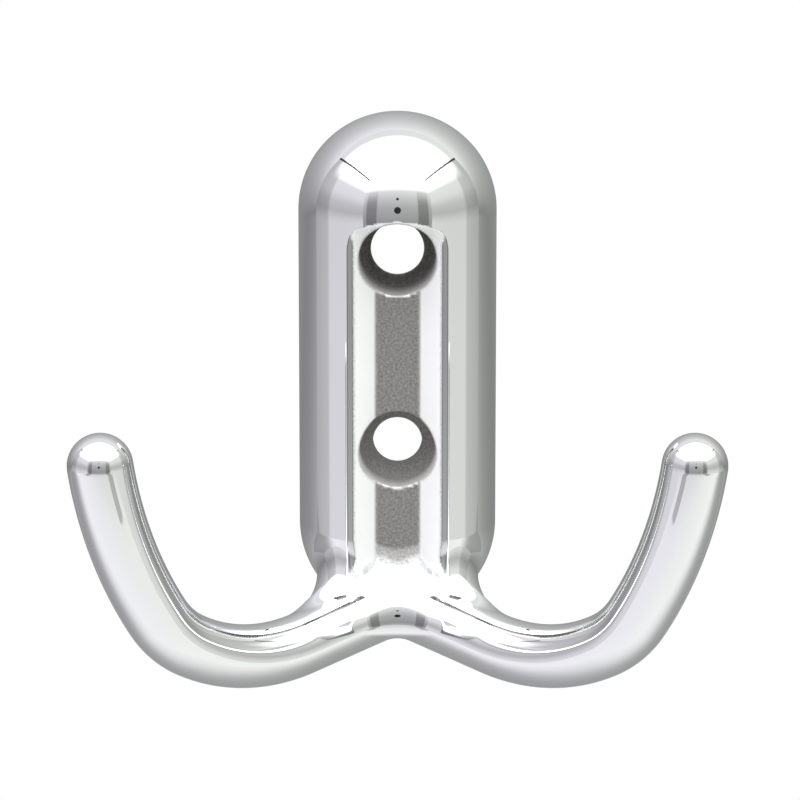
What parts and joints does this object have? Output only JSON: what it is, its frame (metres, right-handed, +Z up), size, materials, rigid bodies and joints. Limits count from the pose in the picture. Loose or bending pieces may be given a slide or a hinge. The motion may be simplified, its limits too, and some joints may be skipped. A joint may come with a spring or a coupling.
{
  "type": "double robe hook",
  "caption": "Small wall hook with a half round grooved plate and a pair of upturned round arms spreading to both sides, for robes and towels.",
  "frame": {"origin": "on the wall plane, midway between the two screw holes", "axes": "+Z up, +X to the right of someone facing the hook, -Y out of the wall towards the room; the back lies flat on y = 0"},
  "size_m": [0.0644, 0.0309, 0.0569],
  "materials": {
    "chrome": "polished chrome plate over a zinc casting, dull and slightly grainy in the channel floor and the holes"
  },
  "bodies": {
    "root": {"double_hook": "chrome"}
  },
  "joints": []
}
